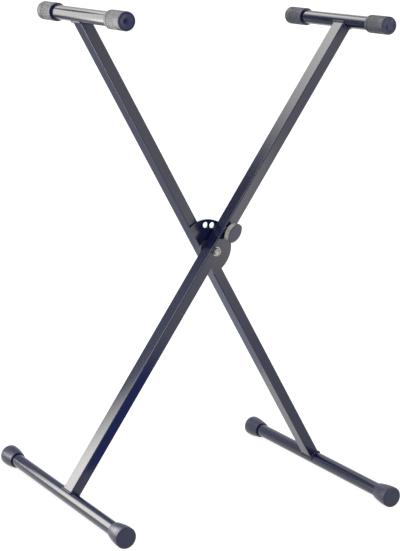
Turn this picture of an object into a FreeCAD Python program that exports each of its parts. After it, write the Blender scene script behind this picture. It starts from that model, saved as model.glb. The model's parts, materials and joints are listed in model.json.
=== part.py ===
import FreeCAD, Part

import math
import os
from types import SimpleNamespace

import Sketcher

# Folding X stand for a keyboard: two rectangular legs cross at one bolt, each leg carries a round
# foot tube and a round top tube with end caps, and a spring-loaded pin on one leg drops into the
# holes of an index plate welded to the other.
# Frame: millimetres, X across the X shape, -Y is the front (the side of the pull knob), +Z up,
# origin on the floor midway between the feet, in the plane halfway between the two legs.

# ------------------------------------------------------------------ driving dimensions

SIZES = (
    # the crossed legs, measured along each leg from the pivot
    ("leg_below", 511.3, "pivot to the axis of the foot tube"),
    ("leg_above", 488.7, "pivot to the axis of the top tube"),
    ("opening_angle", 64.2, "degrees between the legs above the pivot"),
    ("leg_width", 20.0, "leg section across, in the plane of the X"),
    ("leg_depth", 32.0, "leg section front to back"),
    ("leg_wall", 1.5, "wall of the leg section"),
    ("leg_corner", 2.0, "outer corner radius of the leg section"),
    ("leg_gap", 8.0, "clear space between the two legs"),
    # round tubes at the ends of the legs
    ("tube_radius", 12.5, "outer radius of the foot and top tubes"),
    ("tube_wall", 1.5, "wall of the foot and top tubes"),
    ("foot_span", 494.0, "foot tube with its caps, face to face"),
    ("top_span", 322.0, "top tube with its caps, face to face"),
    ("weld_radius", 2.4, "radius of the weld beads between leg and tube"),
    ("weld_corner_radius", 2.7, "radius of the bead at the corners of the leg"),
    ("weld_gap", 0.1, "gap left under the saddle cut of the leg"),
    # bell-shaped foot caps
    ("foot_cap_radius", 19.0, "radius near the closed face, on which the stand rests"),
    ("foot_cap_mouth_radius", 15.0, "radius at the open end"),
    ("foot_cap_length", 40.0, "open end to closed face"),
    ("foot_cap_bell_length", 28.0, "length of the bell, from the open end"),
    ("foot_cap_end_wall", 6.0, "thickness of the closed end"),
    ("foot_cap_edge", 2.8, "edge radius of the closed face"),
    ("foot_cap_bell_bulge", 200.0, "radius of the bell's curved outline"),
    # ribbed top caps
    ("top_cap_radius", 16.2, "radius over the ribs"),
    ("top_cap_mouth_edge", 0.8, "chamfer at the open end"),
    ("top_cap_length", 55.0, "open end to closed face"),
    ("top_cap_end_wall", 7.0, "thickness of the closed end"),
    ("top_cap_edge", 2.6, "edge radius of the closed face"),
    ("top_cap_dish_radius", 12.4, "radius of the dish in the closed face"),
    ("top_cap_dish_depth", 3.4, "depth of the dish at its middle"),
    ("rib_count", 36.0, "ribs around a top cap"),
    ("rib_length", 31.0, "length of the grooves between the ribs"),
    ("rib_end_distance", 17.0, "closed face to the near end of the grooves"),
    ("rib_groove_radius", 1.0, "radius of a groove"),
    ("rib_groove_depth", 0.6, "depth of a groove"),
    ("cap_fit", 0.05, "radial clearance of a cap on its tube"),
    # index plate
    ("plate_radius", 52.5, "radius of the round edge, about the pivot"),
    ("plate_thickness", 4.0, "thickness of the plate"),
    ("index_radius", 42.5, "pivot to the centres of the index holes"),
    ("index_hole_radius", 5.6, "radius of an index hole"),
    ("index_pitch", 18.6, "degrees from one index hole to the next"),
    ("closing_steps", 2.0, "index holes on the closing side of the one in use"),
    ("opening_steps", 2.0, "index holes on the opening side of the one in use"),
    ("plate_weld_radius", 3.2, "radius of the stitch welds behind the plate"),
    ("plate_weld_length", 16.0, "length of one stitch weld"),
    ("plate_weld_start", 20.0, "pivot to the near end of a stitch weld"),
    # pivot
    ("bolt_radius", 4.0, "radius of the pivot bolt"),
    ("bolt_length", 85.0, "length under the head"),
    ("hex_flats", 13.0, "head and nut across the flats"),
    ("head_height", 5.3, "height of the bolt head"),
    ("head_chamfer", 0.9, "depth of the chamfer at the corners of head and nut"),
    ("nut_hex_height", 6.0, "height of the nut's hexagon"),
    ("nut_collar_height", 2.0, "height of the nut's locking collar"),
    ("nut_collar_radius", 5.6, "radius of the nut's locking collar"),
    ("washer_radius", 8.5, "outer radius of the washers"),
    ("washer_thickness", 1.6, "thickness of the washers"),
    ("spacer_radius", 14.0, "outer radius of the slip ring between leg and plate"),
    ("sleeve_radius", 6.5, "outer radius of the sleeves in the legs"),
    ("pivot_fit", 0.05, "radial clearance of sleeves, rings and nut on the bolt"),
    ("sleeve_fit", 0.05, "radial clearance of a sleeve in its leg"),
    # spring-loaded index pin and its knob
    ("pin_radius", 5.0, "radius of the index pin"),
    ("pin_travel", 5.0, "travel from drawn to engaged"),
    ("pin_bite", 2.5, "depth of the engaged pin in the plate"),
    ("pin_tip", 0.8, "chamfer of the pin's tip"),
    ("stem_radius", 3.5, "radius of the stem that carries the knob"),
    ("pin_collar_radius", 5.6, "radius of the collar that the spring pushes on"),
    ("pin_collar_length", 3.0, "length of the collar"),
    ("slide_fit", 0.3, "radial clearance of the pin's sliding parts"),
    ("chamber_radius", 6.0, "radius of the spring chamber in the housing"),
    ("housing_radius", 7.5, "outer radius of the housing inside the leg"),
    ("housing_depth", 26.0, "length of the housing behind the leg's front face"),
    ("flange_radius", 9.6, "radius of the housing's flange"),
    ("flange_thickness", 4.0, "thickness of the flange in front of the leg"),
    ("stop_ring_length", 2.0, "length of the stop ring in the housing's mouth"),
    ("spring_wire_radius", 0.5, "radius of the spring's wire"),
    ("spring_coil_radius", 5.0, "radius of the spring's coil to the wire's centre"),
    ("spring_turns", 6.0, "turns of the spring"),
    ("spring_fit", 0.1, "gap at each end of the drawn spring"),
    ("knob_length", 36.8, "length of the oval knob, along the leg"),
    ("knob_width", 22.6, "width of the oval knob, across the leg"),
    ("knob_end_radius", 8.0, "radius of the oval's two ends"),
    ("knob_thickness", 16.0, "thickness of the knob"),
    ("knob_edge", 1.2, "edge radius of the knob"),
    ("knob_front", 26.5, "leg's front face to the knob's face, drawn"),
    ("knob_front_wall", 4.0, "thickness of the knob in front of the stem"),
)


class Size:
    """A size known both as a number and as an expression on the sheet."""

    def __init__(self, text, value):
        self.text = text
        self.value = value

    @staticmethod
    def of(other):
        return other if isinstance(other, Size) else Size(repr(float(other)), float(other))

    def join(self, sign, other, value):
        return Size(f"({self.text} {sign} {other.text})", value)

    def __add__(self, other):
        other = Size.of(other)
        return self.join("+", other, self.value + other.value)

    def __sub__(self, other):
        other = Size.of(other)
        return self.join("-", other, self.value - other.value)

    def __mul__(self, other):
        other = Size.of(other)
        return self.join("*", other, self.value * other.value)

    def __truediv__(self, other):
        other = Size.of(other)
        return self.join("/", other, self.value / other.value)

    def __rmul__(self, other):
        return Size.of(other) * self

    def __neg__(self):
        return Size(f"(0 - {self.text})", -self.value)

    def sine(self):
        return Size(f"sin({self.text} * 1 deg)", math.sin(math.radians(self.value)))

    def cosine(self):
        return Size(f"cos({self.text} * 1 deg)", math.cos(math.radians(self.value)))

    def root(self):
        return Size(f"sqrt({self.text})", math.sqrt(self.value))


doc = FreeCAD.newDocument("keyboard_stand")
sheet = doc.addObject("Spreadsheet::Sheet", "Sizes")
for row, (alias, number, note) in enumerate(SIZES, 1):
    sheet.set(f"A{row}", note)
    sheet.set(f"B{row}", str(number))
    sheet.setAlias(f"B{row}", alias)
doc.recompute()
of = SimpleNamespace(**{alias: Size(f"Sizes.{alias}", float(sheet.get(alias)))
                        for alias, number, note in SIZES})

# ------------------------------------------------------------------ places in the frame

half_angle = of.opening_angle / 2
pivot_height = of.foot_cap_radius + of.leg_below * half_angle.cosine()
foot_reach = of.leg_below * half_angle.sine()
top_reach = of.leg_above * half_angle.sine()
top_height = pivot_height + of.leg_above * half_angle.cosine()
half_width = of.leg_width / 2
leg_near = of.leg_gap / 2
leg_far = leg_near + of.leg_depth
plate_front = leg_near - of.plate_thickness
bore_radius = of.bolt_radius + of.pivot_fit

LEGS = {
    # each leg leans to its side (+1 is right at the top), and lies in front (-1) or behind (+1)
    "knob_leg": SimpleNamespace(lean=1, side=-1),
    "plate_leg": SimpleNamespace(lean=-1, side=1),
}

# ------------------------------------------------------------------ drawing and shaping


def bind(thing, prop, size):
    """Let a property follow the sheet."""
    thing.setExpression(prop, Size.of(size).text)


def new_body(label):
    body = doc.addObject("PartDesign::Body", label)
    body.Label = label
    return body


def origin_part(body, role):
    return next(part for part in body.Origin.OriginFeatures if part.Role == role)


def sketch_on(body, role, name, lift=None):
    """A sketch on one of the body's own planes, lifted along the plane's normal."""
    sketch = body.newObject("Sketcher::SketchObject", name)
    sketch.AttachmentSupport = [(origin_part(body, role), "")]
    sketch.MapMode = "FlatFace"
    if lift is not None:
        bind(sketch, "AttachmentOffset.Base.z", lift)
    return sketch


def dimension(sketch, kind, names, size):
    """A dimension of the sketch that follows the sheet."""
    index = sketch.addConstraint(Sketcher.Constraint(kind, *names, size.value))
    bind(sketch, f"Constraints[{index}]", size)


def fix_point(sketch, edge, end, across, up):
    for kind, size in (("DistanceX", Size.of(across)), ("DistanceY", Size.of(up))):
        dimension(sketch, kind, (-1, 1, edge, end), size)


def draw_circle(sketch, radius, across=0, up=0):
    centre = FreeCAD.Vector(Size.of(across).value, Size.of(up).value, 0)
    edge = sketch.addGeometry(Part.Circle(centre, FreeCAD.Vector(0, 0, 1), radius.value))
    dimension(sketch, "Radius", (edge,), radius)
    fix_point(sketch, edge, 3, across, up)


def arc_between(start, end, radius):
    """The shorter arc from start to end, which turns left where the radius is positive."""
    chord = end - start
    rise = math.sqrt(max(radius.value ** 2 - chord.Length ** 2 / 4, 0.0))
    left = FreeCAD.Vector(-chord.y, chord.x, 0).normalize()
    turn = math.copysign(1, radius.value)
    centre = (start + end) * 0.5 + left * rise * turn
    first, last = (start, end) if turn > 0 else (end, start)
    angles = [math.atan2(point.y - centre.y, point.x - centre.x) for point in (first, last)]
    circle = Part.Circle(centre, FreeCAD.Vector(0, 0, 1), abs(radius.value))
    return Part.ArcOfCircle(circle, *angles), turn


def draw_outline(sketch, corners):
    """A closed outline. A corner is (across, up), with a third value where an arc leads to it."""
    points = [FreeCAD.Vector(Size.of(c[0]).value, Size.of(c[1]).value, 0) for c in corners]
    ends = []
    for number, corner in enumerate(corners):
        start, end = points[number - 1], points[number]
        if len(corner) == 3:
            arc, turn = arc_between(start, end, corner[2])
            edge = sketch.addGeometry(arc)
            ends.append((edge, 1, 2) if turn > 0 else (edge, 2, 1))
        else:
            edge = sketch.addGeometry(Part.LineSegment(start, end))
            ends.append((edge, 1, 2))
    for number, (edge, first, last) in enumerate(ends):
        before = ends[number - 1]
        joint = ("Coincident", before[0], before[2], edge, first)
        sketch.addConstraint(Sketcher.Constraint(*joint))
        fix_point(sketch, edge, last, corners[number][0], corners[number][1])
        if len(corners[number]) == 3:
            radius = corners[number][2]
            size = radius if radius.value > 0 else -radius
            dimension(sketch, "Radius", (edge,), size)


def draw_rounded_box(sketch, low, high, near, far, corner):
    """A rectangle with round corners between the given sides."""
    draw_outline(sketch, (
        (high - corner, near), (high, near + corner, corner),
        (high, far - corner), (high - corner, far, corner),
        (low + corner, far), (low, far - corner, corner),
        (low, near + corner), (low + corner, near, corner),
    ))


def draw_oval(sketch, length, width, end_radius):
    """An upright oval of four arcs that run smoothly into each other."""
    end_up = length / 2 - end_radius
    half = width / 2
    side_radius = (end_up * end_up + half * half - end_radius * end_radius) / (2 * (half - end_radius))
    reach = side_radius - end_radius
    across = end_radius * (side_radius - half) / reach
    up = end_up * side_radius / reach
    draw_outline(sketch, (
        (across, -up, end_radius), (across, up, side_radius),
        (-across, up, end_radius), (-across, -up, side_radius),
    ))


CORNERS_PER_FLATS = 2 / math.sqrt(3)  # a hexagon over its corners, for each unit across its flats


def draw_hexagon(sketch, flats):
    """A hexagon with two flats upright."""
    corner = flats * CORNERS_PER_FLATS / 2
    side = flats / 2
    draw_outline(sketch, (
        (side, corner / 2), (0, corner), (-side, corner / 2),
        (-side, -corner / 2), (0, -corner), (side, -corner / 2),
    ))


def pad(body, sketch, length, name="Pad"):
    feature = body.newObject("PartDesign::Pad", name)
    feature.Profile = sketch
    bind(feature, "Length", length)
    return feature


def pocket(body, sketch, length=None, name="Pocket", forwards=False):
    """A cut along Y: through all, or by a length behind or in front of the sketch."""
    feature = body.newObject("PartDesign::Pocket", name)
    feature.Profile = sketch
    if length is None:
        feature.Type = "ThroughAll"
        feature.SideType = "Symmetric"
    else:
        bind(feature, "Length", length)
        feature.Reversed = forwards
    return feature


def revolve(body, sketch, kind="PartDesign::Revolution"):
    feature = body.newObject(kind, "Turned")
    feature.Profile = sketch
    feature.ReferenceAxis = (sketch, ["H_Axis"])
    feature.Angle = 360
    return feature


def turned(label, outline):
    """A piece turned about Y, from corners that hold the place along Y and the radius."""
    body = new_body(label)
    sketch = sketch_on(body, "YZ_Plane", "Outline")
    draw_outline(sketch, outline)
    revolve(body, sketch)
    return body


def ring(label, inner, outer, front, back):
    """A plain ring about Y between two places along Y."""
    return turned(label, ((front, inner), (back, inner), (back, outer), (front, outer)))


def polar_pattern(body, feature, angle, count):
    pattern = body.newObject("PartDesign::PolarPattern", "Around")
    pattern.Originals = [feature]
    pattern.Axis = (origin_part(body, "Y_Axis"), [""])
    bind(pattern, "Angle", angle)
    bind(pattern, "Occurrences", count)
    body.Tip = pattern
    return pattern


def place(piece, across=0, up=0, axis=(0, 1, 0), turn=0):
    """Set a piece in the frame: moved in X and Z, and turned about an axis by so many degrees."""
    piece.Placement = FreeCAD.Placement(FreeCAD.Vector(), FreeCAD.Rotation(FreeCAD.Vector(*axis), 1))
    bind(piece, "Placement.Base.x", across)
    bind(piece, "Placement.Base.z", up)
    bind(piece, "Placement.Rotation.Angle", turn)
    return piece


def place_on_leg(piece, leg):
    """Set a piece that is drawn with its leg upright and the pivot at the origin."""
    return place(piece, 0, pivot_height, (0, 1, 0), half_angle * LEGS[leg].lean)


# ------------------------------------------------------------------ legs

nodes = []


def leg_faces(leg):
    """Where the leg's section begins and ends along Y, low value first."""
    return (-leg_far, -leg_near) if LEGS[leg].side < 0 else (leg_near, leg_far)


def leg_prism(label, leg, hollow):
    """The leg's section, from the axis of the foot tube up to the axis of the top tube."""
    body = new_body(label)
    sketch = sketch_on(body, "XY_Plane", "Section", -of.leg_below)
    near, far = leg_faces(leg)
    draw_rounded_box(sketch, -half_width, half_width, near, far, of.leg_corner)
    if hollow:
        wall = of.leg_wall
        inner = (-half_width + wall, half_width - wall, near + wall, far - wall)
        draw_rounded_box(sketch, *inner, of.leg_corner - wall)
    pad(body, sketch, of.leg_below + of.leg_above)
    return body


def leg_tube(leg):
    """The hollow leg, saddled to the round tubes and drilled for the pivot sleeve."""
    body = leg_prism(f"{leg}_tube", leg, hollow=True)
    saddles = sketch_on(body, "XZ_Plane", "Saddles")
    for up in (-of.leg_below, of.leg_above):
        draw_circle(saddles, of.tube_radius + of.weld_gap, 0, up)
    pocket(body, saddles, name="SaddleCuts")
    pivot = sketch_on(body, "XZ_Plane", "PivotHole")
    draw_circle(pivot, of.sleeve_radius + of.sleeve_fit)
    pocket(body, pivot, name="PivotCut")
    return body


def drill_for_pin(body):
    """The knob leg's two holes for the index pin: a wide one in front and a close one behind."""
    middle = (leg_near + leg_far) / 2
    for name, radius, forwards in (
            ("HousingHole", of.housing_radius + of.sleeve_fit, True),
            ("PinHole", of.pin_radius + of.slide_fit, False)):
        sketch = sketch_on(body, "XZ_Plane", name, middle)
        draw_circle(sketch, radius, 0, of.index_radius)
        pocket(body, sketch, of.leg_depth, name + "Cut", forwards)


knob_leg_tube = leg_tube("knob_leg")
drill_for_pin(knob_leg_tube)
plate_leg_tube = leg_tube("plate_leg")
for leg, tube in (("knob_leg", knob_leg_tube), ("plate_leg", plate_leg_tube)):
    nodes.append(place_on_leg(tube, leg))
    front, back = leg_faces(leg)
    sleeve = ring(f"{leg}_pivot_sleeve", bore_radius, of.sleeve_radius, front, back)
    nodes.append(place_on_leg(sleeve, leg))

# ------------------------------------------------------------------ round tubes and caps


def end_of_leg(leg, end):
    """Place of a round tube's axis."""
    lean = LEGS[leg].lean
    if end == "foot":
        return foot_reach * -lean, of.foot_cap_radius
    return top_reach * lean, top_height


def round_tube(leg, end, span, end_wall):
    half_length = span / 2 - end_wall
    inner = of.tube_radius - of.tube_wall
    tube = ring(f"{leg}_{end}_tube", inner, of.tube_radius, -half_length, half_length)
    return place(tube, *end_of_leg(leg, end))


def foot_cap(label):
    """Rubber cap with a bell at its mouth and a flat face, on the front end of the tube."""
    face = -of.foot_span / 2
    mouth = face + of.foot_cap_length
    bell = mouth - of.foot_cap_bell_length
    edge = of.foot_cap_edge
    floor = face + of.foot_cap_end_wall
    bore = of.tube_radius + of.cap_fit
    return turned(label, (
        (face, 0), (floor, 0), (floor, bore), (mouth, bore), (mouth, of.foot_cap_mouth_radius),
        (bell, of.foot_cap_radius, of.foot_cap_bell_bulge),
        (face + edge, of.foot_cap_radius), (face, of.foot_cap_radius - edge, edge),
    ))


def top_cap(label):
    """Ribbed grip cap with a flat mouth and a dished face, on the front end of the tube."""
    face = -of.top_span / 2
    mouth = face + of.top_cap_length
    floor = face + of.top_cap_end_wall
    edge = of.top_cap_edge
    dish = face + of.top_cap_dish_depth
    rim = of.top_cap_dish_radius
    hollow = (rim * rim + of.top_cap_dish_depth * of.top_cap_dish_depth) / (2 * of.top_cap_dish_depth)
    chamfer = of.top_cap_mouth_edge
    bore = of.tube_radius + of.cap_fit
    body = turned(label, (
        (dish, 0, -hollow), (floor, 0), (floor, bore), (mouth, bore),
        (mouth, of.top_cap_radius - chamfer), (mouth - chamfer, of.top_cap_radius),
        (face + edge, of.top_cap_radius), (face, of.top_cap_radius - edge, edge), (face, rim),
    ))
    groove = sketch_on(body, "XZ_Plane", "Groove", of.top_span / 2 - of.rib_end_distance)
    centre = of.top_cap_radius - of.rib_groove_depth + of.rib_groove_radius
    draw_circle(groove, of.rib_groove_radius, 0, centre)
    cut = pocket(body, groove, of.rib_length, "GrooveCut")
    polar_pattern(body, cut, 360, of.rib_count)
    return body


TUBE_ENDS = (
    ("foot", of.foot_span, of.foot_cap_end_wall, foot_cap),
    ("top", of.top_span, of.top_cap_end_wall, top_cap),
)
for leg in LEGS:
    for end, span, end_wall, cap in TUBE_ENDS:
        nodes.append(round_tube(leg, end, span, end_wall))
        for where, turn in (("front", 0), ("back", 180)):
            piece = cap(f"{leg}_{end}_cap_{where}")
            nodes.append(place(piece, *end_of_leg(leg, end), (0, 0, 1), turn))

# ------------------------------------------------------------------ welds


def primitive(kind, name, at=(0, 0, 0), rotation=None, **sizes):
    """A primitive solid whose sizes and place follow the sheet."""
    solid = doc.addObject(kind, name)
    for prop, size in sizes.items():
        bind(solid, prop, size)
    solid.Placement = FreeCAD.Placement(FreeCAD.Vector(), rotation or FreeCAD.Rotation())
    for letter, distance in zip("xyz", at):
        bind(solid, f"Placement.Base.{letter}", distance)
    return solid


def joined(name, solids):
    fuse = doc.addObject("Part::MultiFuse", name)
    fuse.Shapes = solids
    return fuse


def cut_by(label, base, tool):
    cut = doc.addObject("Part::Cut", label)
    cut.Base = base
    cut.Tool = tool
    cut.Label = label
    return cut


def sideways():
    """Turns a primitive's own axis from +Z to +Y."""
    return FreeCAD.Rotation(FreeCAD.Vector(1, 0, 0), -90)


saddle_drop = (of.tube_radius * of.tube_radius - half_width * half_width).root()
saddle_angle = math.degrees(math.asin(half_width.value / of.tube_radius.value))


def saddle_weld(leg, end, outline):
    """Bead round the foot of a leg where it sits on a round tube."""
    near, far = leg_faces(leg)
    up_sign = 1 if end == "foot" else -1
    axis_up = -of.leg_below if end == "foot" else of.leg_above
    bead_up = axis_up + saddle_drop * up_sign
    solids = []
    for across in (-half_width, half_width):
        rail = primitive("Part::Cylinder", "Rail", (across, near, bead_up), sideways(),
                         Radius=of.weld_radius, Height=of.leg_depth)
        solids.append(rail)
        solids += [primitive("Part::Sphere", "Corner", (across, face, bead_up),
                             Radius=of.weld_corner_radius) for face in (near, far)]
    upright = FreeCAD.Rotation(FreeCAD.Vector(1, 0, 0), 90)
    start = FreeCAD.Rotation(FreeCAD.Vector(0, 0, 1), 90 * up_sign - saddle_angle)
    for face in (near, far):
        arch = primitive("Part::Torus", "Arch", (0, face, axis_up), upright.multiply(start),
                         Radius1=of.tube_radius, Radius2=of.weld_radius)
        arch.Angle3 = 2 * saddle_angle
        solids.append(arch)
    tube = primitive("Part::Cylinder", "Tube", (0, -of.foot_span / 2, axis_up), sideways(),
                     Radius=of.tube_radius, Height=of.foot_span)
    bead = joined(f"{leg}_{end}_bead", solids)
    weld = cut_by(f"{leg}_{end}_weld", bead, joined(f"{leg}_{end}_taken", [outline, tube]))
    return place_on_leg(weld, leg)


for leg in LEGS:
    outline = leg_prism(f"{leg}_outline", leg, hollow=False)
    for end in ("foot", "top"):
        nodes.append(saddle_weld(leg, end, outline))

# ------------------------------------------------------------------ index plate


def index_plate():
    """Plate on the front of the plate leg: round about the pivot, straight along the leg."""
    body = new_body("index_plate")
    sketch = sketch_on(body, "XZ_Plane", "Outline", -leg_near)
    radius = of.plate_radius
    reach = (radius * radius - half_width * half_width).root()
    draw_outline(sketch, ((-half_width, -reach), (radius, 0, radius), (-half_width, reach, radius)))
    draw_circle(sketch, bore_radius)
    pad(body, sketch, of.plate_thickness)
    first = of.opening_angle - of.index_pitch * of.closing_steps
    hole = sketch_on(body, "XZ_Plane", "IndexHole")
    centre = (of.index_radius * first.sine(), of.index_radius * first.cosine())
    draw_circle(hole, of.index_hole_radius, *centre)
    cut = pocket(body, hole, name="IndexCut")
    steps = of.closing_steps + of.opening_steps
    polar_pattern(body, cut, of.index_pitch * steps, steps + 1)
    return body


def plate_weld(outline):
    """Two stitch welds in the corner between the back of the plate and the side of the leg."""
    solids = []
    for up in (of.plate_weld_start, -of.plate_weld_start - of.plate_weld_length):
        solids.append(primitive("Part::Cylinder", "Stitch", (half_width, leg_near, up),
                                Radius=of.plate_weld_radius, Height=of.plate_weld_length))
    front = primitive("Part::Box", "InFront", (-of.plate_radius, -of.leg_depth, -of.plate_radius),
                      Length=of.plate_radius * 2, Width=of.leg_depth + leg_near,
                      Height=of.plate_radius * 2)
    beads = joined("plate_beads", solids)
    return cut_by("plate_weld", beads, joined("plate_weld_taken", [outline, front]))


plate_outline = leg_prism("plate_weld_outline", "plate_leg", hollow=False)
nodes.append(place_on_leg(index_plate(), "plate_leg"))
nodes.append(place_on_leg(plate_weld(plate_outline), "plate_leg"))

# ------------------------------------------------------------------ pivot


def chamfer_hexagon(body, face, inwards):
    """Turn the corners of a hexagon off at the face, leaning inwards (+1 or -1 along Y)."""
    corner = of.hex_flats * CORNERS_PER_FLATS / 2
    sketch = sketch_on(body, "YZ_Plane", "Chamfer")
    draw_outline(sketch, (
        (face, of.hex_flats / 2), (face, corner + of.head_chamfer),
        (face + of.head_chamfer * 2 * inwards, corner + of.head_chamfer),
    )[::inwards])
    revolve(body, sketch, "PartDesign::Groove")


def pivot_bolt():
    """Hexagon bolt, head in front."""
    body = new_body("pivot_bolt")
    seat = -leg_far - of.washer_thickness
    head = sketch_on(body, "XZ_Plane", "Head", -seat)
    draw_hexagon(head, of.hex_flats)
    pad(body, head, of.head_height, "HeadPad")
    chamfer_hexagon(body, seat - of.head_height, 1)
    shank = sketch_on(body, "XZ_Plane", "Shank", -seat)
    draw_circle(shank, of.bolt_radius)
    pad(body, shank, of.bolt_length, "ShankPad").Reversed = True
    return body


def pivot_nut():
    """Lock nut behind the plate leg, its collar outwards."""
    body = new_body("pivot_nut")
    seat = leg_far + of.washer_thickness
    hexagon = sketch_on(body, "XZ_Plane", "Hexagon", -seat)
    draw_hexagon(hexagon, of.hex_flats)
    pad(body, hexagon, of.nut_hex_height, "HexagonPad").Reversed = True
    chamfer_hexagon(body, seat + of.nut_hex_height, -1)
    collar = sketch_on(body, "XZ_Plane", "Collar", -seat)
    draw_circle(collar, of.nut_collar_radius)
    height = of.nut_hex_height + of.nut_collar_height
    pad(body, collar, height, "CollarPad").Reversed = True
    bore = sketch_on(body, "XZ_Plane", "Bore")
    draw_circle(bore, bore_radius)
    pocket(body, bore, name="BoreCut")
    return body


def pivot_ring(label, outer, front, back):
    return ring(label, bore_radius, outer, front, back)


for piece in (
        pivot_bolt(),
        pivot_nut(),
        pivot_ring("pivot_washer_front", of.washer_radius, -leg_far - of.washer_thickness, -leg_far),
        pivot_ring("pivot_washer_back", of.washer_radius, leg_far, leg_far + of.washer_thickness),
        pivot_ring("pivot_slip_ring", of.spacer_radius, -leg_near, plate_front)):
    nodes.append(place_on_leg(piece, "plate_leg"))

# ------------------------------------------------------------------ index pin

COIL_ARC = 0.25  # turns of the spring that one arc covers

pin_tip_drawn = plate_front + of.pin_bite - of.pin_travel
mouth = -leg_far + of.housing_depth
stop_front = mouth - of.stop_ring_length
collar_back = stop_front - of.pin_travel
collar_front = collar_back - of.pin_collar_length
chamber_front = -leg_far
knob_face = -leg_far - of.knob_front
stem_front = knob_face + of.knob_front_wall


def plunger_housing():
    """Flanged barrel in the leg's front wall that holds the pin's spring."""
    flange_front = -leg_far - of.flange_thickness
    return turned("plunger_housing", (
        (flange_front, of.stem_radius + of.slide_fit),
        (chamber_front, of.stem_radius + of.slide_fit),
        (chamber_front, of.chamber_radius), (mouth, of.chamber_radius),
        (mouth, of.housing_radius), (-leg_far, of.housing_radius),
        (-leg_far, of.flange_radius), (flange_front, of.flange_radius),
    ))


def plunger_pin():
    """Pin with its collar and the long stem that carries the knob, drawn clear of the plate."""
    tip = of.pin_tip
    return turned("plunger_pin", (
        (stem_front, 0), (pin_tip_drawn, 0), (pin_tip_drawn, of.pin_radius - tip),
        (pin_tip_drawn - tip, of.pin_radius), (collar_back, of.pin_radius),
        (collar_back, of.pin_collar_radius), (collar_front, of.pin_collar_radius),
        (collar_front, of.stem_radius), (stem_front, of.stem_radius),
    ))


def pull_knob():
    """Oval knob with rounded edges, and a socket for the stem."""
    body = new_body("pull_knob")
    back = knob_face + of.knob_thickness
    outline = sketch_on(body, "XZ_Plane", "Outline", -back)
    draw_oval(outline, of.knob_length, of.knob_width, of.knob_end_radius)
    block = pad(body, outline, of.knob_thickness)
    doc.recompute()
    flat = [f"Face{number}" for number, face in enumerate(block.Shape.Faces, 1)
            if isinstance(face.Surface, Part.Plane)]
    rounded = body.newObject("PartDesign::Fillet", "RoundedEdges")
    rounded.Base = (block, flat)
    bind(rounded, "Radius", of.knob_edge)
    socket = sketch_on(body, "XZ_Plane", "Socket", -back)
    draw_circle(socket, of.stem_radius + of.sleeve_fit)
    pocket(body, socket, of.knob_thickness - of.knob_front_wall, "SocketCut", forwards=True)
    return body


def plunger_spring():
    """Coil spring between the front of the chamber and the pin's collar, as a chain of arcs."""
    wire = of.spring_wire_radius.value
    radius = of.spring_coil_radius.value
    start = chamber_front + of.spring_fit + of.spring_wire_radius
    height = (collar_front - of.spring_fit - of.spring_wire_radius - start).value
    turns = of.spring_turns.value

    def on_coil(turn):
        angle = 2 * math.pi * turn
        rise = height * turn / turns
        return FreeCAD.Vector(radius * math.cos(angle), rise, radius * math.sin(angle))

    count = round(turns / COIL_ARC)
    arcs = []
    for number in range(count):
        stops = [on_coil((number + part) * COIL_ARC) for part in (0, 0.5, 1)]
        arcs.append(Part.Arc(*stops).toShape())
    along = arcs[0].tangentAt(arcs[0].FirstParameter)
    section = Part.Wire([Part.makeCircle(wire, on_coil(0), along)])
    coil = doc.addObject("Part::Feature", "plunger_spring")
    coil.Label = "plunger_spring"
    coil.Shape = Part.Wire(arcs).makePipeShell([section], True, True)
    return coil, start


def place_beside_pivot(piece):
    """Move a piece drawn about the pin's axis up its leg to the index radius."""
    across = of.index_radius * half_angle.sine()
    up = pivot_height + of.index_radius * half_angle.cosine()
    return place(piece, across, up, (0, 1, 0), half_angle)


stop_ring = ring("plunger_stop_ring", of.pin_radius + of.slide_fit,
                 of.chamber_radius - of.sleeve_fit, stop_front, mouth)
for piece in (plunger_housing(), plunger_pin(), pull_knob(), stop_ring):
    nodes.append(place_beside_pivot(piece))

spring, spring_start = plunger_spring()
place_beside_pivot(spring)
bind(spring, "Placement.Base.y", spring_start)
nodes.append(spring)

# ------------------------------------------------------------------ check and write

doc.recompute()
for item in doc.Objects:
    if {"Invalid", "Error"} & set(item.State):
        raise RuntimeError(f"{item.Label} failed: {item.State}")
for node in nodes:
    if node.Shape.isNull() or not node.Shape.isValid() or node.Shape.Volume <= 0:
        raise RuntimeError(f"{node.Label} has no sound shape")

os.makedirs("parts", exist_ok=True)
for node in nodes:
    node.Shape.exportStep(f"parts/{node.Label}.step")
    print(f"{node.Label:32s} {len(node.Shape.Solids)} solid(s) {node.Shape.Volume:12.1f} mm3")
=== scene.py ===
import json
import math

import bmesh
import bpy
from mathutils import Matrix, Vector


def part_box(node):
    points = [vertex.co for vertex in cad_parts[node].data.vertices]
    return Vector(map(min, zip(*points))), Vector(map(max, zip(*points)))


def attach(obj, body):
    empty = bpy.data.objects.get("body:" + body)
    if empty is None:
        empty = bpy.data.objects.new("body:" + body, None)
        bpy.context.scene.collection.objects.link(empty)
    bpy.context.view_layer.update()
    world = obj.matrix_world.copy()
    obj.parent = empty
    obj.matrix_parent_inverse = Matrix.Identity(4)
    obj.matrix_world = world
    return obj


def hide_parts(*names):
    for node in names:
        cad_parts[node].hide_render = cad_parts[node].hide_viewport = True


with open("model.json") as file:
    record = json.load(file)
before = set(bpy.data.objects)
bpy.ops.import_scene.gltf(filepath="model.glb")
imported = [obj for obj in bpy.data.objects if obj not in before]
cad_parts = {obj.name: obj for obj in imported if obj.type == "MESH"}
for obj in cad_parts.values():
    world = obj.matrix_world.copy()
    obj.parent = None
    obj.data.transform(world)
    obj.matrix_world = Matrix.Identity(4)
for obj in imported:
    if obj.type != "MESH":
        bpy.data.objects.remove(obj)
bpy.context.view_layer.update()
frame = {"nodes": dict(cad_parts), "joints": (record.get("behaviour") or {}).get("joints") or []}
nodes = frame["nodes"]

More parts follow.
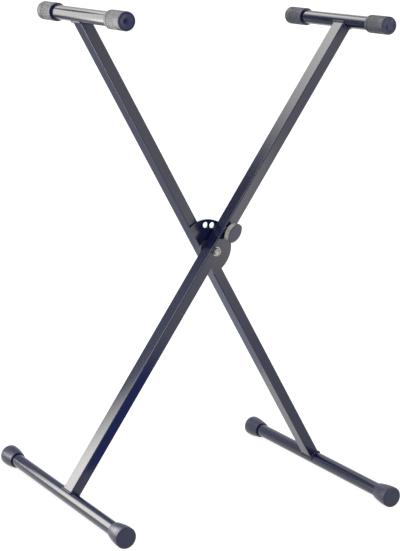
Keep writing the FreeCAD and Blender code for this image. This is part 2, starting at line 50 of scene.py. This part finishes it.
# ------------------------------------------------------------------ legs and round tubes
# Welded mild steel tube, dipped and baked in a gloss stove enamel: a black that leans to navy, with
# the fine orange peel of sprayed paint and a trace of unevenness in its gloss.


class Socket:
    """One output of a node in a finish, on which arithmetic adds Math nodes."""

    def __init__(self, finish, output):
        self.finish = finish
        self.output = output

    def sum(self, operation, first, second):
        return self.finish.node("ShaderNodeMath", {"operation": operation}, {0: first, 1: second})

    def __add__(self, other):
        return self.sum("ADD", self, other)

    def __radd__(self, other):
        return self.sum("ADD", other, self)

    def __sub__(self, other):
        return self.sum("SUBTRACT", self, other)

    def __rsub__(self, other):
        return self.sum("SUBTRACT", other, self)

    def __mul__(self, other):
        return self.sum("MULTIPLY", self, other)

    def __rmul__(self, other):
        return self.sum("MULTIPLY", other, self)

    def __abs__(self):
        return self.sum("ABSOLUTE", self, 0.0)

    def sine(self):
        return self.sum("SINE", self, 0.0)

    def larger(self, other):
        return self.sum("MAXIMUM", self, other)

    def limited(self):
        """Held between 0 and 1."""
        return self.sum("MAXIMUM", self.sum("MINIMUM", self, 1.0), 0.0)


class Finish:
    """The finish of a surface, built node by node."""

    def __init__(self, owner):
        owner.use_nodes = True
        self.owner = owner
        self.tree = owner.node_tree
        self.tree.nodes.clear()

    def node(self, kind, settings=None, sockets=None, output=0):
        """Add one node: its settings first, then the values or links of its sockets."""
        made = self.tree.nodes.new(kind)
        for name, value in (settings or {}).items():
            setattr(made, name, value)
        for name, value in (sockets or {}).items():
            if isinstance(value, Socket):
                self.tree.links.new(value.output, made.inputs[name])
            else:
                made.inputs[name].default_value = value
        return Socket(self, made.outputs[output]) if made.outputs else None

    def place(self):
        """Where a point lies on the part at rest, in metres."""
        return self.node("ShaderNodeTexCoord", output="Object")

    def along(self, axis):
        """How far a point lies along one axis of the part, in metres."""
        return self.node("ShaderNodeSeparateXYZ", {}, {"Vector": self.place()}, axis)

    def flat_end(self, start, steepness):
        """1 on the ends that face along Y, 0 on the sides; start is how squarely the change begins."""
        normal = self.node("ShaderNodeNewGeometry", output="Normal")
        squareness = abs(self.node("ShaderNodeSeparateXYZ", {}, {"Vector": normal}, "Y"))
        return ((squareness - start) * steepness).limited()

    def noise(self, per_metre, detail=2.0):
        sockets = {"Vector": self.place(), "Scale": per_metre, "Detail": detail}
        return self.node("ShaderNodeTexNoise", {"noise_dimensions": "3D"}, sockets)

    def between(self, factor, low, high):
        """A colour between two others."""
        settings = {"data_type": "RGBA"}
        return self.node("ShaderNodeMix", settings, {0: factor, 6: low, 7: high}, output=2)

    def bump(self, height, depth):
        """Relief of so many metres where the height goes from 0 to 1."""
        return self.node("ShaderNodeBump", {}, {"Height": height, "Distance": depth, "Strength": 1.0})

    def surface(self, **sockets):
        """The shader itself, its sockets named with underscores for spaces."""
        named = {name.replace("_", " "): value for name, value in sockets.items()}
        return self.output(self.node("ShaderNodeBsdfPrincipled", {}, named))

    def output(self, shader):
        self.node("ShaderNodeOutputMaterial", {}, {"Surface": shader})
        return self.owner


def paint(material, names):
    """Give nodes of the part their finish."""
    for name in names:
        slots = nodes[name].data.materials
        slots.clear()
        slots.append(material)


NAVY_BLACK = (0.0045, 0.0075, 0.042, 1)
NAVY_BLACK_PALE = (0.0065, 0.0100, 0.052, 1)


def stove_enamel():
    finish = Finish(bpy.data.materials.new("stove_enamel"))
    cloud = finish.noise(14, detail=3.0)
    peel = finish.noise(620, detail=1.0)
    dust = finish.noise(2600, detail=0.0)
    return finish.surface(
        Base_Color=finish.between(cloud, NAVY_BLACK, NAVY_BLACK_PALE),
        Roughness=0.10 + cloud * 0.06 + dust * 0.03,
        IOR=1.5,
        Normal=finish.bump(peel, 0.000005),
    )


LEGS = ("knob_leg", "plate_leg")
enamel = stove_enamel()
tubes = [f"{leg}_{part}" for leg in LEGS for part in ("tube", "foot_tube", "top_tube")]
welds = [f"{leg}_{end}_weld" for leg in LEGS for end in ("foot", "top")]
paint(enamel, tubes + ["index_plate"])


def weld_bead():
    """The ripples that each drop of weld metal left, under the same enamel."""
    finish = Finish(bpy.data.materials.new("weld_bead"))
    ripple = finish.node("ShaderNodeTexWave", {"bands_direction": "DIAGONAL"}, {
        "Vector": finish.place(), "Scale": 190.0,
        "Distortion": 2.5, "Detail": 2.0, "Detail Scale": 1.5})
    return finish.surface(
        Base_Color=finish.between(finish.noise(90), NAVY_BLACK, NAVY_BLACK_PALE),
        Roughness=0.34 + ripple * 0.15,
        IOR=1.4,
        Normal=finish.bump(ripple, 0.0002),
    )


paint(weld_bead(), welds + ["plate_weld"])

# ------------------------------------------------------------------ foot caps
# Soft black vinyl caps, dip moulded and pushed over the ends of the foot tubes, with a few fine rings
# left by the mould behind the face.

VINYL = (0.012, 0.015, 0.055, 1)
VINYL_PALE = (0.018, 0.020, 0.070, 1)
# Painted shade: the cap's end takes a darker, bluer copy of the same vinyl.
VINYL_SHADED_FACE = (0.004, 0.008, 0.045, 1)
FOOT_CAP_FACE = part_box("knob_leg_foot_cap_back")[1].y
CAP_END = (0.6, 4)
MOULD_RINGS = 0.0065  # behind the cap's face
MOULD_RING_SPREAD = 0.004
MOULD_RING_PITCH = 0.0021


def foot_vinyl():
    finish = Finish(bpy.data.materials.new("foot_vinyl"))
    cloud = finish.noise(60, detail=3.0)
    grain = finish.noise(1500, detail=1.0)
    face = finish.flat_end(*CAP_END)
    behind_face = FOOT_CAP_FACE - abs(finish.along("Y"))
    ringed = (1 - abs(behind_face - MOULD_RINGS) * (1 / MOULD_RING_SPREAD)).limited()
    ring = (behind_face * (2 * math.pi / MOULD_RING_PITCH)).sine() * ringed
    return finish.surface(
        # The face is given the painted shade, darker and bluer than the rest of the cap.
        Base_Color=finish.between(face, finish.between(cloud, VINYL, VINYL_PALE), VINYL_SHADED_FACE),
        Roughness=0.30 + cloud * 0.08 - face * 0.08,
        IOR=1.5,
        Normal=finish.bump(grain * 0.06 + ring, 0.00012),
    )


caps = [f"{leg}_foot_cap_{side}" for leg in LEGS for side in ("front", "back")]
paint(foot_vinyl(), caps)

# ------------------------------------------------------------------ top caps
# Ribbed rubber grips pushed over the top tubes, on which the keyboard rests without sliding. Their
# dished ends are smoother than the ribs, and painted darker and bluer as painted shade in the dish.

GRIP = (0.014, 0.018, 0.042, 1)
GRIP_PALE = (0.022, 0.026, 0.050, 1)
# Painted shade: a darker, bluer copy of the rubber for the dished end.
GRIP_SHADED_FACE = (0.006, 0.010, 0.070, 1)


def grip_rubber():
    finish = Finish(bpy.data.materials.new("grip_rubber"))
    cloud = finish.noise(80, detail=3.0)
    grain = finish.noise(1900, detail=1.0)
    face = finish.flat_end(*CAP_END)
    return finish.surface(
        # The dished face takes the painted shade.
        Base_Color=finish.between(face, finish.between(cloud, GRIP, GRIP_PALE), GRIP_SHADED_FACE),
        Roughness=0.42 + cloud * 0.1 - face * 0.26,
        IOR=1.5,
        Normal=finish.bump(grain, 0.00001),
    )


caps = [f"{leg}_top_cap_{side}" for leg in LEGS for side in ("front", "back")]
paint(grip_rubber(), caps)

# ------------------------------------------------------------------ pivot
# Zinc plated hexagon bolt, washers and lock nut, a nylon slip ring and bare steel sleeves.

ZINC = (0.24, 0.235, 0.22, 1)
ZINC_BLUE = (0.19, 0.20, 0.22, 1)


def zinc_plate():
    finish = Finish(bpy.data.materials.new("zinc_plate"))
    cloud = finish.noise(220, detail=3.0)
    return finish.surface(
        Base_Color=finish.between(cloud, ZINC, ZINC_BLUE),
        Metallic=1.0,
        Roughness=0.08 + cloud * 0.12,
        Normal=finish.bump(finish.noise(1400, detail=2.0), 0.00001),
    )


zinc = zinc_plate()
paint(zinc, ["pivot_bolt", "pivot_nut", "pivot_washer_front", "pivot_washer_back"])

# The bolt itself is cold headed: its hexagon is rounded off in front with a dished middle, and its
# thread is rolled, 1.25 mm a turn.

PIVOT_HEIGHT = next(joint["pos_m"][2] for joint in frame["joints"] if joint["name"] == "fold")
HEAD_FACE, BOLT_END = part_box("pivot_bolt")[0].y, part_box("pivot_bolt")[1].y
WASHER_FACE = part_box("pivot_washer_front")[0].y
HALF_ACROSS_FLATS = 0.0065
SHANK = 0.004
AROUND = 72
THREAD_PITCH = 0.00125
THREAD_DEPTH = 0.00065
THREAD_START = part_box("pivot_nut")[0].y
THREAD_RUN_OUT = 0.0005
THREAD_POINT = 0.0008  # plain end behind the last turn
STEPS_A_TURN = 6
HEAD_TURNED = 0.35  # radians about the pivot
DISH_RADIUS = 0.0047
DISH_DEPTH = 0.0009
DISH_RINGS = 5
DISH_RIM = 0.0052
FLAT_RADIUS = 0.0058  # of the head's face, inside its chamfer
EDGE = 0.0001
CORNER = 0.0003
CHAMFER_SLOPE = math.tan(math.radians(30))
SHARPEST_SMOOTH = math.radians(35)


def hexagon_radius(turn):
    return HALF_ACROSS_FLATS / math.cos((turn + HEAD_TURNED) % (math.pi / 3) - math.pi / 6)


def lathe(name, rings, material):
    """A piece turned about the pivot: each ring gives a radius and a place along Y for every turn."""
    form = bmesh.new()
    loops = []
    for ring in rings:
        loop = []
        for step in range(AROUND):
            turn = 2 * math.pi * step / AROUND
            radius, along = ring(turn)
            across, above = radius * math.cos(turn), radius * math.sin(turn)
            loop.append(form.verts.new((across, along, PIVOT_HEIGHT + above)))
        loops.append(loop)
    for first, second in zip(loops, loops[1:]):
        for step in range(AROUND):
            after = (step + 1) % AROUND
            form.faces.new((first[step], first[after], second[after], second[step]))
    form.faces.new(loops[0])
    form.faces.new(loops[-1])
    bmesh.ops.recalc_face_normals(form, faces=form.faces)
    mesh = bpy.data.meshes.new(name)
    form.to_mesh(mesh)
    form.free()
    mesh.materials.append(material)
    mesh.shade_smooth()
    mesh.set_sharp_from_angle(angle=SHARPEST_SMOOTH)
    piece = bpy.data.objects.new(name, mesh)
    bpy.context.scene.collection.objects.link(piece)
    return piece


def level(radius, along):
    return lambda turn: (radius, along)


def thread(row):
    along = THREAD_START + row * THREAD_PITCH / STEPS_A_TURN

    def ring(turn):
        phase = (row / STEPS_A_TURN - turn / (2 * math.pi)) % 1.0
        return SHANK - THREAD_DEPTH * (1 - abs(2 * phase - 1)), along

    return ring


def chamfer(inset, drop):
    """A ring of the hexagon's edge, lower where it reaches further out."""
    return lambda turn: (hexagon_radius(turn) - inset,
                         HEAD_FACE + drop + (hexagon_radius(turn) - FLAT_RADIUS) * CHAMFER_SLOPE)


dish = [level(DISH_RADIUS * ring / DISH_RINGS, HEAD_FACE + DISH_DEPTH * (1 - (ring / DISH_RINGS) ** 2))
        for ring in range(1, DISH_RINGS + 1)]
head = [
    level(DISH_RIM, HEAD_FACE),
    level(FLAT_RADIUS, HEAD_FACE + EDGE),
    chamfer(CORNER, 2 * EDGE),
    chamfer(0, 2 * CORNER),
    lambda turn: (hexagon_radius(turn), WASHER_FACE - EDGE),
    lambda turn: (hexagon_radius(turn) - EDGE, WASHER_FACE),
]
shank = [level(SHANK, WASHER_FACE), level(SHANK, THREAD_START - THREAD_RUN_OUT)]
turns = (BOLT_END - THREAD_POINT - THREAD_START) / THREAD_PITCH
threads = [thread(row) for row in range(int(turns * STEPS_A_TURN))]
end = [level(SHANK - THREAD_DEPTH, BOLT_END)]
bolt = lathe("turned_bolt", dish + head + shank + threads + end, zinc)
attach(bolt, "plate_leg")
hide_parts("pivot_bolt")


def plain_steel(name, colour, roughness):
    finish = Finish(bpy.data.materials.new(name))
    cloud = finish.noise(300, detail=3.0)
    darker = tuple(value * 0.8 for value in colour[:3]) + (1,)
    return finish.surface(
        Base_Color=finish.between(cloud, darker, colour),
        Metallic=1.0,
        Roughness=roughness + cloud * 0.12,
    )


steel = plain_steel("bare_steel", (0.45, 0.44, 0.43, 1), 0.3)
paint(steel, ["knob_leg_pivot_sleeve", "plate_leg_pivot_sleeve", "plunger_pin", "plunger_stop_ring"])
paint(plain_steel("spring_steel", (0.35, 0.34, 0.34, 1), 0.25), ["plunger_spring"])


def nylon():
    finish = Finish(bpy.data.materials.new("nylon"))
    cloud = finish.noise(150)
    return finish.surface(
        Base_Color=finish.between(cloud, (0.02, 0.02, 0.03, 1), (0.03, 0.03, 0.04, 1)),
        Roughness=0.4 + cloud * 0.1,
    )


paint(nylon(), ["pivot_slip_ring"])

# ------------------------------------------------------------------ index pin and knob
# A blackened housing pressed into the leg, and a moulded knob on the pin's stem, with a paler band
# round its side behind a dark rim. That band is partly the side's own colour, partly a painted
# highlight.

paint(plain_steel("black_steel", (0.03, 0.03, 0.04, 1), 0.35), ["plunger_housing"])

KNOB_FACE = (0.036, 0.034, 0.064, 1)
KNOB_FACE_PALE = (0.044, 0.042, 0.074, 1)
KNOB_RIM = (0.006, 0.006, 0.012, 1)
# Partly the side's own colour, partly a painted highlight of the bright light the side reflects.
KNOB_PALE_BAND_HIGHLIGHT = (0.19, 0.19, 0.20, 1)
KNOB_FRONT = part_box("pull_knob")[0].y
KNOB_RIM_WIDTH = 0.0022
KNOB_RIM_FADE = 0.0004
KNOB_END = (0.9, 12)


def knob_plastic_and_highlight():
    finish = Finish(bpy.data.materials.new("knob_plastic_and_highlight"))
    cloud = finish.noise(120, detail=3.0)
    # Where the pale band lies, which is partly painted highlight.
    band = ((finish.along("Y") - (KNOB_FRONT + KNOB_RIM_WIDTH)) * (1 / KNOB_RIM_FADE)).limited()
    face = finish.between(cloud, KNOB_FACE, KNOB_FACE_PALE)
    plastic = finish.between(finish.flat_end(*KNOB_END), KNOB_RIM, face)
    return finish.surface(
        Base_Color=finish.between(band, plastic, KNOB_PALE_BAND_HIGHLIGHT),
        Roughness=0.32 + cloud * 0.08 + band * 0.1,
        Normal=finish.bump(finish.noise(1500, detail=1.0), 0.00001),
    )


paint(knob_plastic_and_highlight(), ["pull_knob"])

# ------------------------------------------------------------------ floor and light
# A pale floor and a white room, lit evenly, with one broad lamp up in front on the left.

WHITE = (1, 1, 1, 1)
PALE = (0.45, 0.45, 0.45, 1)
ROOM_LIGHT = 0.75
FLOOR_GLOW = 0.84
FLOOR_HALF = 30.0


def seen_or_mirrored(finish):
    """1 for rays from the camera and from mirror-like surfaces, 0 for the soft light."""
    camera, glossy, transmission = [
        finish.node("ShaderNodeLightPath", output=f"Is {kind} Ray")
        for kind in ("Camera", "Glossy", "Transmission")]
    return camera.larger(glossy).larger(transmission)


def pale_floor():
    finish = Finish(bpy.data.materials.new("pale_floor"))
    matt = finish.node("ShaderNodeBsdfDiffuse", {}, {"Color": PALE})
    strength = seen_or_mirrored(finish) * FLOOR_GLOW
    glow = finish.node("ShaderNodeEmission", {}, {"Color": WHITE, "Strength": strength})
    return finish.output(finish.node("ShaderNodeAddShader", {}, {0: matt, 1: glow}))


def flat_sheet(name, corners, material):
    """A single flat sheet of the set."""
    mesh = bpy.data.meshes.new(name)
    mesh.from_pydata(corners, [], [(0, 1, 2, 3)])
    mesh.materials.append(material)
    sheet = bpy.data.objects.new(name, mesh)
    bpy.context.scene.collection.objects.link(sheet)
    return sheet


flat_sheet("floor", [(-FLOOR_HALF, -FLOOR_HALF, 0), (FLOOR_HALF, -FLOOR_HALF, 0),
                     (FLOOR_HALF, FLOOR_HALF, 0), (-FLOOR_HALF, FLOOR_HALF, 0)], pale_floor())

world = bpy.data.worlds.new("room")
bpy.context.scene.world = world
room = Finish(world)
glow = room.node("ShaderNodeBackground", {}, {
    "Color": WHITE, "Strength": ROOM_LIGHT + seen_or_mirrored(room) * (1 - ROOM_LIGHT)})
room.node("ShaderNodeOutputWorld", {}, {"Surface": glow})

key = bpy.data.lights.new("key", "AREA")
key.size = 2.0
key.energy = 28
key_lamp = bpy.data.objects.new("key", key)
key_lamp.location = (-1.6, -2.2, 2.6)
key_lamp.rotation_mode = "QUATERNION"
key_lamp.rotation_quaternion = (Vector((0, 0, 0.4)) - key_lamp.location).to_track_quat("-Z", "Y")
key_lamp.visible_camera = False
key_lamp.visible_glossy = False
bpy.context.scene.collection.objects.link(key_lamp)

# Soft boxes and dark flags round the stand, which show only in its gloss. Each stands upright,
# square to Y, and fades out along its edges: its centre, half its width, half its height, the width
# of its fading edge, its glow and its colour.

WARM = (1.0, 0.975, 0.90, 1)
COOL = (0.90, 0.95, 1.15, 1)
NAVY = (0.45, 0.60, 1.95, 1)
PANELS = {
    "flag_behind": ((-0.14, 0.51, 0.38), 0.43, 0.27, 0.05, 0.54, COOL),
    "box_far": ((-1.53, 4.66, 4.01), 1.95, 0.79, 0.47, 5.6, WARM),
    "flag_left": ((-0.46, 0.95, 0.43), 0.23, 0.74, 0.095, 0.15, COOL),
    "box_left": ((-2.10, 1.71, 0.72), 1.15, 0.55, 0.17, 10.7, WARM),
    "box_low": ((-0.69, 0.34, 0.42), 0.30, 0.34, 0.05, 8.4, WARM),
    "box_high": ((-3.98, 1.60, 3.09), 2.41, 1.55, 0.16, 5.55, WARM),
    "box_caps": ((-0.49, 0.50, 0.95), 0.19, 0.20, 0.04, 4.5, WARM),
    "flag_caps": ((-0.385, 0.49, 1.07), 0.055, 0.060, 0.015, 0.15, COOL),
    "flag_low": ((0.12, 0.30, 0.12), 0.13, 0.13, 0.04, 0.8, COOL),
    "box_front": ((1.11, -1.02, 0.75), 0.91, 0.70, 0.10, 1.77, WARM),
    "box_near": ((0.36, -0.53, 0.45), 0.07, 0.14, 0.053, 3.28, WARM),
    "flag_front": ((-0.10, -0.22, 0.10), 0.11, 0.12, 0.04, 0.50, NAVY),
    "flag_left_cap": ((-0.185, -0.25, 0.86), 0.045, 0.035, 0.02, 0.05, NAVY),
    "flag_right_cap": ((0.385, -0.25, 0.885), 0.035, 0.04, 0.02, 0.10, NAVY),
    "box_right_cap": ((0.28, -0.26, 0.87), 0.06, 0.07, 0.02, 4.0, WARM),
}
NEAREST = 0.18  # a soft box doesn't show in a piece nearer than this
NEAR_FADE = 0.1


def panel(name, centre, half_width, half_height, fade, glow, colour):
    finish = Finish(bpy.data.materials.new(name))
    x, y, z = centre
    shown = 1.0
    if glow > 1:
        distance = finish.node("ShaderNodeLightPath", output="Ray Length")
        shown = ((distance - NEAREST) * (1 / NEAR_FADE)).limited()
    for axis, middle, half in (("X", x, half_width), ("Z", z, half_height)):
        inside = (half + fade - abs(finish.along(axis) - middle)) * (0.5 / fade)
        shown = shown * inside.limited()
    box = finish.node("ShaderNodeEmission", {}, {"Color": colour, "Strength": glow})
    clear = finish.node("ShaderNodeBsdfTransparent")
    material = finish.output(finish.node("ShaderNodeMixShader", {}, {0: shown, 1: clear, 2: box}))
    across, up = half_width + fade, half_height + fade
    sheet = flat_sheet(name, [(x - across, y, z - up), (x + across, y, z - up),
                              (x + across, y, z + up), (x - across, y, z + up)], material)
    sheet.visible_camera = False
    sheet.visible_diffuse = False
    sheet.visible_shadow = False


for name, sizes in PANELS.items():
    panel(name, *sizes)

# ------------------------------------------------------------------ camera
# At the photograph's place, looking slightly down from the front left.

EYE = Vector((-1.49181, -2.57472, 0.99681))
YAW = 0.52199
PITCH = 0.19784
ROLL = 0.04382
FOCAL_PIXELS = 1662.74
FRAME_HEIGHT_PIXELS = 551
SENSOR = 36.0

ahead = Vector((math.sin(YAW) * math.cos(PITCH), math.cos(YAW) * math.cos(PITCH), -math.sin(PITCH)))
level_right = Vector((math.cos(YAW), -math.sin(YAW), 0))
level_up = level_right.cross(ahead)
right = level_right * math.cos(ROLL) + level_up * math.sin(ROLL)
up = level_up * math.cos(ROLL) - level_right * math.sin(ROLL)
lens = bpy.data.cameras.new("camera")
lens.sensor_width = SENSOR
lens.lens = SENSOR * FOCAL_PIXELS / FRAME_HEIGHT_PIXELS
camera = bpy.data.objects.new("camera", lens)
camera.matrix_world = Matrix.Translation(EYE) @ Matrix((right, up, -ahead)).transposed().to_4x4()
bpy.context.scene.collection.objects.link(camera)
bpy.context.scene.camera = camera
bpy.context.scene.view_settings.view_transform = "Standard"
